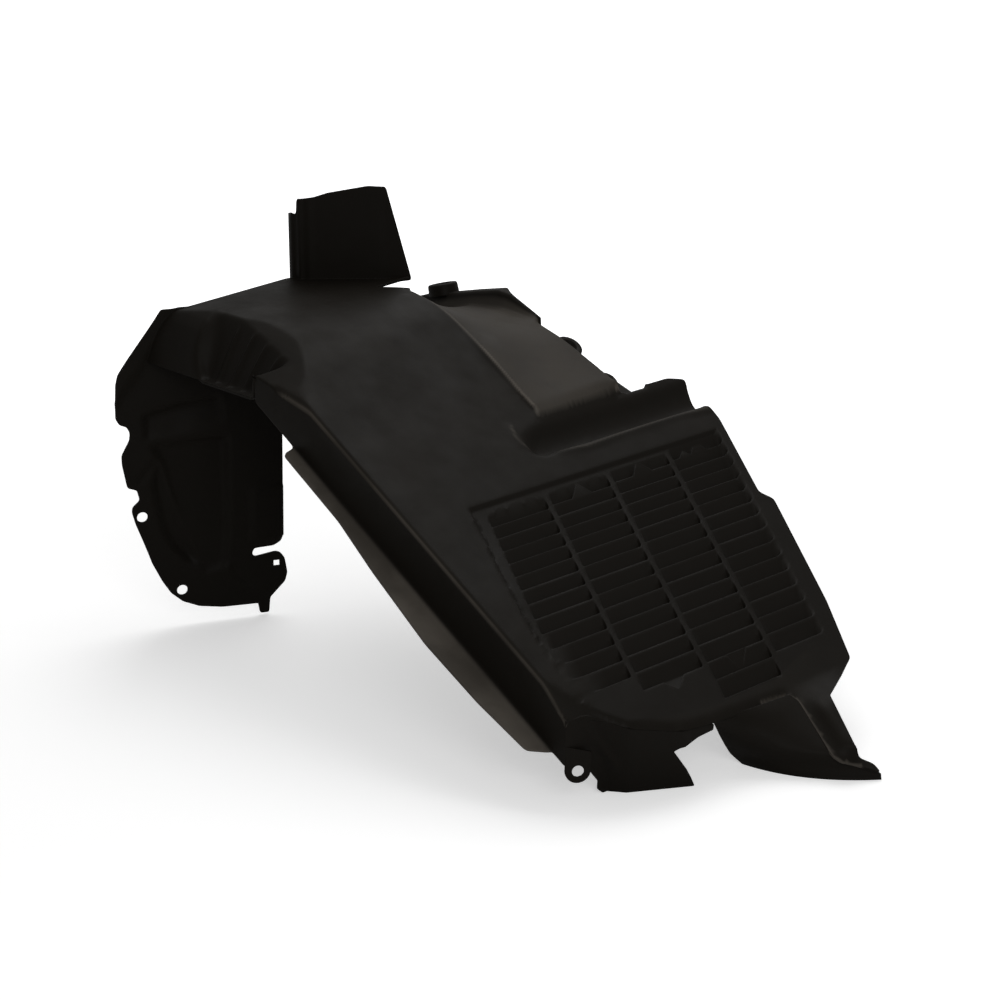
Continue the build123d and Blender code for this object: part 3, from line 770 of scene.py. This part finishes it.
    def lift(self, flat: np.ndarray) -> np.ndarray:
        """Carry the flat sheet to its place.

        For v of 0 or more the sheet is the skin at y = v. From 0 to -66 it is the side wall,
        at y = 0 and falling from the skin's edge to the wall's foot. Below -66 it is the lip
        flange, level with the foot and turned outboard by what is left of v.

        Args:
            flat: Points u, v of the flat sheet.

        Returns:
            Points x, y, z.
        """
        u, v = flat[:, 0], flat[:, 1]
        top = np.maximum(v, 0.0)
        z = self.heights(u, top)
        # Rounded edge between skin and wall
        r = self.edge_round
        near = np.clip(r - top, 0.0, r)
        edge_on = soft(u, -176.0, -160.0)
        z = z - edge_on * (r - np.sqrt(np.maximum(r * r - near * near, 0.0)))
        # The same for the fold down to the apron
        fold = np.array(self.fold, dtype=float)
        near = np.clip(7.0 - distance(fold, flat, closed=False), 0.0, 7.0) * soft(top, 4.0, 24.0)
        z = z - 0.7 * (7.0 - np.sqrt(np.maximum(49.0 - near * near, 0.0)))
        foot = np.minimum(OPENING, ramp(u) - WALL_DROP)
        down = np.clip(-v / 66.0, 0.0, 1.0)
        wall_z = z * (1.0 - down) + foot * down
        out = np.maximum(-v - 66.0, 0.0)
        y = np.where(v >= 0.0, top, -out)
        z = np.where(v >= 0.0, z, wall_z - 0.10 * out)
        # Soft long hollow down the middle of the side wall
        hollow = 2.5 * np.sin(np.pi * down) * soft(u, -120.0, -60.0) * (1.0 - soft(u, 200.0, 262.0)) * (v < 0.0)
        points = np.stack([u, y + hollow * (out <= 0.0), z], axis=1)
        # The tongue rises behind its outboard edge as a steep flange
        turned = soft(distance(np.array(self.tongue_edge, dtype=float), flat, closed=False), 2.0, 30.0)
        turned *= soft(u, 351.0, 376.0) * (1.0 - soft(u, 432.0, 446.0)) * (v > 240.0)
        return points + 24.0 * turned[:, None] * np.array([0.68, -0.65, 0.34])

    def painted_light_and_dust(self, flat: np.ndarray) -> tuple[np.ndarray, np.ndarray]:
        """Painted highlight and dust shares of the skin: painted highlights on raised lines, the strip and the lip,
        and painted shade as little dust on louvres, recess and side wall.

        Args:
            flat: Points u, v of the flat sheet.

        Returns:
            Painted highlight, and dust with painted shade, both from 0 to 1.
        """
        u, v = flat[:, 0], flat[:, 1]
        # Painted highlight along the fold between skin and side wall, and the lip flange painted pale as if lit from
        # above
        painted_highlight = 0.55 * np.exp(-((v / 1.6) ** 2)) * soft(u, -170.0, -150.0)
        painted_highlight = np.maximum(painted_highlight, 0.85 * soft(-v, 64.0, 71.0))
        # Painted highlights along the bead, the trough's ridge and the tongue's edge
        for line, width, share in ((self.bead, 1.7, 1.0), (self.ridge, 1.6, 0.40), (self.tongue_edge, 1.7, 0.7)):
            near = distance(np.array(line, dtype=float), flat, closed=False)
            painted_highlight = np.maximum(painted_highlight, share * np.exp(-((near / width) ** 2)))
        # The strip painted pale: a painted sheen
        strip = (v > 270.0) & (v < 402.0) & (u < -28.0) & (u + (v - 270.0) * 136.0 / 130.0 > -243.0)
        painted_highlight = np.maximum(painted_highlight, 0.36 * strip)
        # Painted shade: louvres, recess and side wall get little dust, so they render darker; the recess gets no
        # painted highlight
        louvred = inside(np.array(self.louvres.border, dtype=float), flat)
        recess = (u < self.recess_end + 0.75 * (v - 47.0)) & (v >= 0.0) & (v < 46.0)
        return painted_highlight * ~recess, np.where(louvred | recess | ((v < 0.0) & (v > -64.0)), 0.08, 0.6)

    def build(self) -> Sheet:
        """Cut, lift and soften the skin."""
        outline = rounded(self.outline, 4.0)
        fold_points = grid_points((270, 365, 0, 275), (2.6, 2.6))
        fine = np.vstack([
            grid_points((-403, 470, -102, 505), (6.0, 6.0)),
            grid_points((-400, -150, 0, 62), (2.1, 2.1)),
            grid_points((-230, 290, -8, 8), (3.0, 1.7)),
            grid_points((-202, 285, -73, -60), (3.0, 2.0)),
            fold_points[distance(np.array(self.fold, dtype=float), fold_points, closed=False) < 11.0],
            grid_points((-60, 40, 205, 505), (2.6, 3.4)),
            grid_points((-240, -36, 262, 276), (3.0, 1.5)),
            grid_points((-36, -20, 262, 405), (1.3, 1.8)),
            grid_points((-376, -24, 396, 408), (3.0, 1.7)),
            self.louvres.grid(),
        ])
        x, y = fine[:, 0], fine[:, 1]
        coarse = np.arange(len(fine)) < len(grid_points((-403, 470, -102, 505), (6.0, 6.0)))
        in_fine = (
            ((x < -150) & (y > 0) & (y < 62)) | ((x > -230) & (x < 290) & ((abs(y) < 8) | (abs(y + 66.5) < 7)))
            | ((x > -60) & (x < 40) & (y > 205)) | ((x > -240) & (x < -20) & (y > 262) & (y < 276))
            | ((x < -24) & (y > 396) & (y < 408)) | (distance(np.array(self.fold, dtype=float), fine, closed=False) < 11.0) | self.louvres.gridded(fine)
        )
        heel = (x > -36) & (x < -20) & (y > 262) & (y < 405)
        twice = heel & (np.arange(len(fine)) < len(fine) - len(self.louvres.grid()) - len(grid_points((-36, -20, 262, 405), (1.3, 1.8))))
        fine = fine[~((coarse & in_fine) | twice)]
        sheet = cut_sheet(outline, [], fine, skew=self.louvres.slant)
        flat = sheet.points
        sheet.painted_highlight, sheet.dust_and_shade = self.painted_light_and_dust(flat)
        sheet.points = self.lift(flat)
        louvred = inside(np.array(self.louvres.border, dtype=float), flat)
        ribs = (flat[:, 0] < -150.0) & (flat[:, 1] < 62.0)
        sheet.points = relax(sheet, np.where(louvred, 0.0, np.where(ribs, 0.35, 0.5)), 4)
        return sheet


@dataclass
class Leg:
    """The upright leg: a flat panel with a rounded foot, an ear, holes and pressed relief."""

    turn: float = 64.2
    outline: tuple = (
        (20, 392), (8, 375), (-23, 334), (-34, 318), (-37, 306), (-38, 264), (-34, 257), (-26, 254),
        (-22, 246), (-23, 237), (-33, 219), (-33, 208), (-28, 179), (-17, 175), (-14, 162), (-23, 154),
        (-24, 148), (-20, 132), (-13.5, 114), (-8, 98), (-2.5, 81), (8, 58.5), (18, 42), (32, 29.5), (52, 21), (80, 16.5), (112, 16), (124, 16),
        (126, 3), (137, 3), (139, 22), (158, 41), (161, 52), (158, 71), (153, 78), (147, 80), (121, 76),
        (118, 81), (121, 87), (145, 88), (154, 93), (157, 100), (161, 297), (161, 392),
    )
    holes: tuple = ((-12.0, 141.0, 6.5), (32.0, 44.0, 6.5))
    ear: tuple = (148.0, 65.0, 7.5)

    def relief(self, s: np.ndarray, z: np.ndarray) -> np.ndarray:
        """Height of the panel's face above its plane.

        The pressed field falls away from its top and inboard borders and rises evenly to
        nothing at its lower corner. The band above it fades downwards from its upper line.
        The groove beside it is a leaf with sloping sides.

        Args:
            s: Places across the panel.
            z: Places up the panel.

        Returns:
            Heights in millimetres, below 0 where it is pressed in.
        """
        flat = np.stack([s, z], axis=1)
        field = np.array(((0, 229.5), (93.5, 231), (90.5, 70), (60, 62), (40, 92), (14, 205)), dtype=float)
        away = (s - 94.0) * -0.866 + (z - 232.0) * -0.5
        reach = np.where(inside(field, flat), distance(field, flat), 0.0)
        height = -9.0 * np.clip(1.0 - away / 150.0, 0.0, 1.0) * soft(reach, 0.0, 3.2)
        band = np.array(((-5, 266), (40, 276), (86, 280), (90, 262), (91, 234), (-6, 232)), dtype=float)
        below = (266.0 + (s + 5.0) * 0.16) - z
        reach = np.where(inside(band, flat), distance(band, flat), 0.0)
        height -= 8.0 * np.clip(1.0 - below / 36.0, 0.0, 1.0) * soft(reach, 0.0, 3.4)
        leaf = np.array(((10, 213), (1, 180), (5, 152), (11, 122), (22, 98), (38, 80), (56, 70), (46, 96), (35, 126), (20, 172)), dtype=float)
        reach = np.where(inside(leaf, flat), distance(leaf, flat), 0.0)
        height -= 6.0 * soft(reach, 0.0, 5.0)
        rib = np.array(((91, 180), (90, 110), (86, 68), (89, 59), (95, 48), (107, 38), (125, 34)), dtype=float)
        height += 2.6 * np.exp(-((distance(rib, flat, closed=False) / 3.4) ** 2)) * (1.0 - soft(z, 80.0, 120.0))
        pad = np.array(((118, 165), (164, 165), (164, 104), (148, 92), (117, 92)), dtype=float)
        reach = np.where(inside(pad, flat), distance(pad, flat), 0.0)
        height += 2.4 * soft(reach, 0.0, 2.5)
        corner = (s + 18.0) * 0.80 - (z - 262.0) * 0.60
        height += 4.0 * (1.0 - soft(corner, -34.0, -22.0)) * soft(z, 236.0, 262.0)
        spoke = np.array(((8, 209), (-14, 184)), dtype=float)
        return height - 2.0 * np.exp(-((distance(spoke, flat, closed=False) / 3.0) ** 2))

    def build(self) -> Sheet:
        """Cut the panel, press its relief and stand it at its turn."""
        rings = [
            np.stack([c + r * np.cos(a), h + r * np.sin(a)], axis=1)
            for c, h, r in self.holes
            for a in (np.linspace(0.0, 2.0 * np.pi, 28, endpoint=False),)
        ]
        c, h, size = self.ear
        half = size / 2.0
        square = np.array(((c - half, h - half), (c + half, h - half), (c + half, h + half), (c - half, h + half)))
        sheet = cut_sheet(rounded(self.outline, 2.6, 1.6), [*rings, square], grid_points((-45, 170, 0, 395), (3.3, 3.3)))
        s, z = sheet.points[:, 0], sheet.points[:, 1]
        turn = np.radians(self.turn)
        height = self.relief(s, z)
        sheet.points = np.stack(
            [-403.0 + s * np.cos(turn) + height * np.sin(turn), s * np.sin(turn) - height * np.cos(turn), z], axis=1
        )
        sheet.points = relax(sheet, np.full(len(s), 0.5), 2)
        return sheet


@dataclass
class Feet:
    """The two feet under the ramp's end: a short apron and a curved scoop under the tongue."""

    fold: tuple = ((282, 0), (296, 25), (321, 53), (343, 108), (348, 152))
    floor: tuple = ((282, 0), (282, 62), (299, 74), (337, 137), (342, 152))
    apron_edge: tuple = (
        (0.0, 0.0), (0.0, 0.33), (0.12, 0.42), (0.45, 0.52), (0.62, 0.62), (0.86, 0.84), (0.82, 0.94),
        (0.9, 1.0), (1.6, 1.0), (2.2, 1.0), (3.0, 1.0), (2.98, 0.86), (2.94, 0.70), (2.86, 0.52), (2.78, 0.36), (2.9, 0.30),
        (3.5, 0.16), (4.0, 0.10), (4.0, 0.0),
    )

    def apron(self) -> Sheet:
        """Straight lines from the skin's fold down to the floor line, cut to the apron's edge."""
        outline = rounded([(q * 40.0, h * 100.0) for q, h in self.apron_edge], 2.0, 1.6)
        sheet = cut_sheet(outline, [], grid_points((0, 160, 0, 100), (2.6, 2.6)))
        q, h = sheet.points[:, 0] / 40.0, np.clip(sheet.points[:, 1] / 100.0, 0.0, 1.0)
        knots = np.arange(5)
        fold = np.array(self.fold, dtype=float)
        floor = np.array(self.floor, dtype=float)
        x = np.interp(q, knots, fold[:, 0]) * (1.0 - h) + np.interp(q, knots, floor[:, 0]) * h
        y = np.interp(q, knots, fold[:, 1]) * (1.0 - h) + np.interp(q, knots, floor[:, 1]) * h
        top = ramp(np.interp(q, knots, fold[:, 0])) - 15.0 * (1.0 - soft(q, 0.0, 0.9)) - 5.4 * soft(q, 0.2, 1.0)
        z = top * (1.0 - h)
        # A pressed crease runs from the fold's outboard end towards the floor
        crease = np.array(((26, 8), (44, 40), (62, 62)), dtype=float)
        reach = distance(crease, sheet.points, closed=False)
        bulge = 3.0 * np.exp(-((reach / 5.0) ** 2))
        sheet.points = np.stack([x + 0.8 * bulge, y - 0.6 * bulge, z], axis=1)
        sheet.points = relax(sheet, np.full(len(z), 0.5), 6)
        return sheet

    def scoop(self) -> Sheet:
        """Arcs at rising levels, each from the free edge through its middle to the tongue's edge."""
        levels = np.array([0.0, 7.0, 14.0, 30.0, 48.0, 66.0, 72.8, 76.0])
        left = np.array([(336, 213), (332, 207), (329, 201), (333, 187), (338, 172), (343, 158), (346, 152), (347, 150)], dtype=float)
        middle = np.array([(405, 236), (398, 232), (392, 229), (381, 214), (369, 207), (356, 208), (347, 206), (346, 200)], dtype=float)
        right = np.array([(463, 289), (462, 289), (452, 280), (426, 252.5), (395, 261), (364, 271), (351, 266), (348, 242)], dtype=float)
        rows = 34
        z = np.linspace(0.0, 70.8, rows)
        curves = [np.stack([np.interp(z, levels, edge[:, k]) for k in range(2)], axis=1) for edge in (left, middle, right)]
        t = np.linspace(0.0, 1.0, 60)[None, :, None]
        a, m, b = (curve[:, None, :] for curve in curves)
        flat = a * (1 - t) * (1 - 2 * t) + m * 4 * t * (1 - t) + b * t * (2 * t - 1)
        height = np.broadcast_to(z[:, None, None], (rows, 60, 1))
        points = np.concatenate([flat, height], axis=2).reshape(-1, 3)
        index = np.arange(rows * 60).reshape(rows, 60)
        low, high = index[:-1], index[1:]
        tri = np.concatenate([
            np.stack([low[:, :-1].ravel(), low[:, 1:].ravel(), high[:, 1:].ravel()], axis=1),
            np.stack([low[:, :-1].ravel(), high[:, 1:].ravel(), high[:, :-1].ravel()], axis=1),
        ])
        edge = np.zeros((rows, 60), dtype=bool)
        edge[[0, -1], :] = True
        edge[:, [0, -1]] = True
        sheet = Sheet(points, tri, edge.ravel())
        sheet.points = relax(sheet, np.full(len(points), 0.5), 6)
        return sheet


@dataclass
class Tab:
    """The fixing tab below the side wall's end, with one round hole."""

    place: float = 13.2
    height: float = 42.0
    radius: float = 13.5
    hole: float = 6.2

    def build(self) -> Sheet:
        """Cut the tab from a flat sheet and stand it at its turn."""
        a = np.radians(np.linspace(170.0, 370.0, 26))
        curve = np.stack([self.place + self.radius * np.cos(a), self.height + self.radius * np.sin(a)], axis=1)
        top = np.array(((self.place + self.radius + 1.0, 62.0), (self.place - self.radius, 70.0)))
        a = np.linspace(0.0, 2.0 * np.pi, 28, endpoint=False)
        ring = np.stack([self.place + self.hole * np.cos(a), self.height + self.hole * np.sin(a)], axis=1)
        sheet = cut_sheet(np.vstack([curve, top]), [ring], grid_points((-4, 30, 26, 72), (2.0, 2.0)), 0.8)
        s, z = sheet.points[:, 0], sheet.points[:, 1]
        rim = 1.2 * np.exp(-(((np.hypot(s - self.place, z - self.height) - self.hole - 1.5) / 1.5) ** 2))
        sheet.points = np.stack([282.0 + 0.53 * s + 0.848 * rim, 0.848 * s - 0.53 * rim, z], axis=1)
        return sheet


@dataclass
class Upstand:
    """The tall wall over the deck, with a stepped outboard edge and a raked return."""

    outline: tuple = (
        (-44, -6), (-44, 78), (-34, 78), (-33, 95), (-30, 97), (-12, 99), (4, 104), (52, 112), (73, 110.5), (101, -2), (101, -6),
    )
    path: tuple = ((-44.4, -15.3), (-41, -2.0), (-33.5, -2.0), (-32.0, 5.0), (-28, 4.2), (66, 0.3), (72, -1.2), (101, -15.0))

    def build(self) -> Sheet:
        """Cut the wall to its outline and bend it along its path."""
        sheet = cut_sheet(rounded(self.outline, 2.4, 1.6), [], grid_points((-46, 103, -8, 114), (2.2, 2.6)))
        w, z = sheet.points[:, 0], sheet.points[:, 1]
        path = np.array(self.path, dtype=float)
        off = np.interp(w, path[:, 0], path[:, 1])
        # Soft vertical flutes beside the stepped edge
        off += 1.4 * np.exp(-(((w + 18.0) / 3.0) ** 2)) - 1.2 * np.exp(-(((w + 25.0) / 2.5) ** 2))
        sheet.points = np.stack([-350.0 + 0.7 * w + 0.714 * off, 230.0 + 0.714 * w - 0.7 * off, DECK + z], axis=1)
        sheet.points = relax(sheet, np.full(len(w), 0.5), 2)
        return sheet


@dataclass
class Boss:
    """One round fixing boss on the ledge: a low turned cup, leaning with the ledge."""

    x: float
    y: float
    top: float
    lean: float
    radius: float

    def build(self) -> Sheet:
        """Turn the profile of radius and height round the boss's own axis."""
        r = self.radius
        profile = np.array(
            ((0.0, -3.5), (r * 0.42, -3.5), (r * 0.5, -3.0), (r * 0.56, -0.6), (r * 0.62, 0.0), (r * 0.9, 0.0), (r * 0.98, -1.0), (r, -2.6), (r + 0.6, -14.0))
        )
        angles = np.linspace(0.0, 2.0 * np.pi, 40, endpoint=False)
        rad, up = profile[:, 0][:, None], profile[:, 1][:, None]
        local = np.stack([rad * np.cos(angles), rad * np.sin(angles), up + 0.0 * angles], axis=2)
        lean = np.radians(self.lean)
        x = self.x + local[..., 0] * np.cos(lean) + local[..., 2] * np.sin(lean)
        z = self.top - local[..., 0] * np.sin(lean) + local[..., 2] * np.cos(lean)
        points = np.stack([x, self.y + local[..., 1], z], axis=2).reshape(-1, 3)
        index = np.arange(len(profile) * 40).reshape(len(profile), 40)
        low, high = index[:-1], index[1:]
        low2, high2 = np.roll(low, -1, axis=1), np.roll(high, -1, axis=1)
        tri = np.concatenate([
            np.stack([low.ravel(), high.ravel(), high2.ravel()], axis=1),
            np.stack([low.ravel(), high2.ravel(), low2.ravel()], axis=1),
        ])
        return Sheet(points, tri, np.zeros(len(points), dtype=bool))


@dataclass
class Moulding:
    """The whole moulded piece, every sheet of it in one mesh with one wall thickness."""

    wall: float = 3.0
    finish: BlackPlastic = field(default_factory=BlackPlastic)
    skin: Skin = field(default_factory=Skin)
    leg: Leg = field(default_factory=Leg)
    feet: Feet = field(default_factory=Feet)
    tab: Tab = field(default_factory=Tab)
    upstand: Upstand = field(default_factory=Upstand)
    bosses: tuple = (
        Boss(-345, 414, 359, -14, 18.5), Boss(-134, 424, 321, 30, 17.5), Boss(-71, 424, 292, 30, 14.5),
    )

    def build(self) -> bpy.types.Object:
        """Build every sheet, join them and dress the piece.

        Returns:
            The finished object.
        """
        towards = np.array([0.68, -0.65, 0.34])
        points, triangles, painted_highlights, dusts_and_shades, start = [], [], [], [], 0
        sheets = (
            (self.skin.build(), np.array([0.3, -0.1, 1.0])), (self.leg.build(), towards),
            (self.feet.apron(), towards), (self.feet.scoop(), towards), (self.tab.build(), towards),
            (self.upstand.build(), towards), *((boss.build(), np.array([0.2, 0.0, 1.0])) for boss in self.bosses),
        )
        for sheet, out in sheets:
            corners = sheet.points[sheet.triangles]
            normal = np.cross(corners[:, 1] - corners[:, 0], corners[:, 2] - corners[:, 0])
            turned = sheet.triangles[:, ::-1] if (normal @ out).sum() < 0.0 else sheet.triangles
            points.append(sheet.points)
            painted_highlights.append(np.broadcast_to(sheet.painted_highlight, len(sheet.points)))
            dusts_and_shades.append(np.broadcast_to(sheet.dust_and_shade, len(sheet.points)))
            triangles.append(turned + start)
            start += len(sheet.points)
        shell = thicken(Sheet(np.vstack(points), np.vstack(triangles), np.zeros(start, dtype=bool)), self.wall)
        low, high = (np.array(corner) for corner in CAD_BOX)
        places = np.clip((shell.points - MOVE) / 1000.0, low + 1e-5, high - 1e-5)
        faces = shell.triangles
        mesh = bpy.data.meshes.new("moulding")
        mesh.from_pydata(places.tolist(), [], faces.tolist())
        mesh.polygons.foreach_set("use_smooth", np.ones(len(faces), dtype=bool))
        # Painted highlight and dust shares, the dust share low where shade is painted, go to the material as point
        # attributes
        for name, shares in (("painted_highlight", painted_highlights), ("dust_and_shade", dusts_and_shades)):
            layer = mesh.attributes.new(name, "FLOAT", "POINT")
            layer.data.foreach_set("value", np.tile(np.concatenate(shares), 2).astype(np.float32))
        obj = bpy.data.objects.new("moulding", mesh)
        bpy.context.scene.collection.objects.link(obj)
        mesh.materials.append(self.finish.material())
        split = obj.modifiers.new("crisp edges", "EDGE_SPLIT")
        split.split_angle = np.radians(48.0)
        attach(obj, "root")
        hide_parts("mudguard")
        log.info("moulding: %d points, %d triangles", len(places), len(faces))
        return obj


def main() -> None:
    """Build the studio and the piece, in order."""
    Studio().build()
    log.info("studio ready")
    piece = Moulding().build()
    log.info("%s dressed, %d faces", piece.name, len(piece.data.polygons))


if __name__ == "__main__":
    main()
